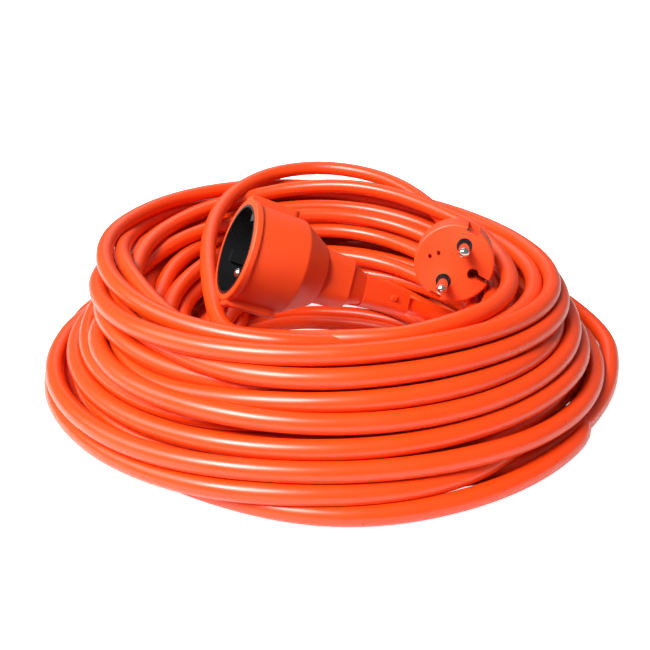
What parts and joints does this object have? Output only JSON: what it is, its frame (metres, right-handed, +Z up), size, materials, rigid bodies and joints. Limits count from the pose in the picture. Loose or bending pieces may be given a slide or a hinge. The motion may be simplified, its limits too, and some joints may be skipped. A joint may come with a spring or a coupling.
{
  "type": "extension cord",
  "caption": "Coiled orange extension cord with an earthed two-pin plug and an earthed coupler whose contact holes are closed by a sprung shutter.",
  "frame": {"origin": "on the floor, under the middle of the bounding box", "axes": "+Z up, +X to the right of the coil as seen from the front, +Y towards its back; the coupler's mouth looks left and the plug's pins look to the front"},
  "size_m": [0.2844, 0.273, 0.0893],
  "materials": {
    "cord_sheath": "glossy",
    "plug_moulding": "satin",
    "socket_moulding": "satin",
    "black_insert": "satin",
    "contact_carrier": "matte",
    "pin_nickel": "polished",
    "contact_brass": "satin",
    "earth_strip": "satin",
    "shutter_white": "matte",
    "spring_steel": "satin",
    "core_brown": "satin",
    "core_blue": "satin",
    "core_green_yellow": "satin"
  },
  "bodies": {
    "cord_set": {"cord_coil": "cord_sheath", "plug_lead": "cord_sheath", "socket_lead": "cord_sheath", "loose_loop": "cord_sheath", "plug_body": "plug_moulding", "plug_relief": "plug_moulding", "plug_bridge": "black_insert", "plug_pin_live": "pin_nickel", "plug_pin_neutral": "pin_nickel", "plug_earth_strip": "earth_strip", "plug_core_live": "core_brown", "plug_core_neutral": "core_blue", "plug_core_earth": "core_green_yellow", "socket_body": "socket_moulding", "socket_relief": "socket_moulding", "socket_insert": "black_insert", "socket_back": "contact_carrier", "socket_contact_live": "contact_brass", "socket_contact_neutral": "contact_brass", "socket_earth_pin": "pin_nickel", "socket_earth_clips": "earth_strip", "shutter_spring": "spring_steel", "socket_core_live": "core_brown", "socket_core_neutral": "core_blue", "socket_core_earth": "core_green_yellow"},
    "shutter": {"shutter": "shutter_white"}
  },
  "joints": [
    {"name": "shutter_slide", "type": "slide", "parent": "cord_set", "child": "shutter", "axis": [0.2378, 0.4933, 0.8367], "range_m": [0, 0.0062], "stiffness_N_per_m": 60, "springref_m": -0.003, "deforming": ["shutter_spring"]}
  ]
}
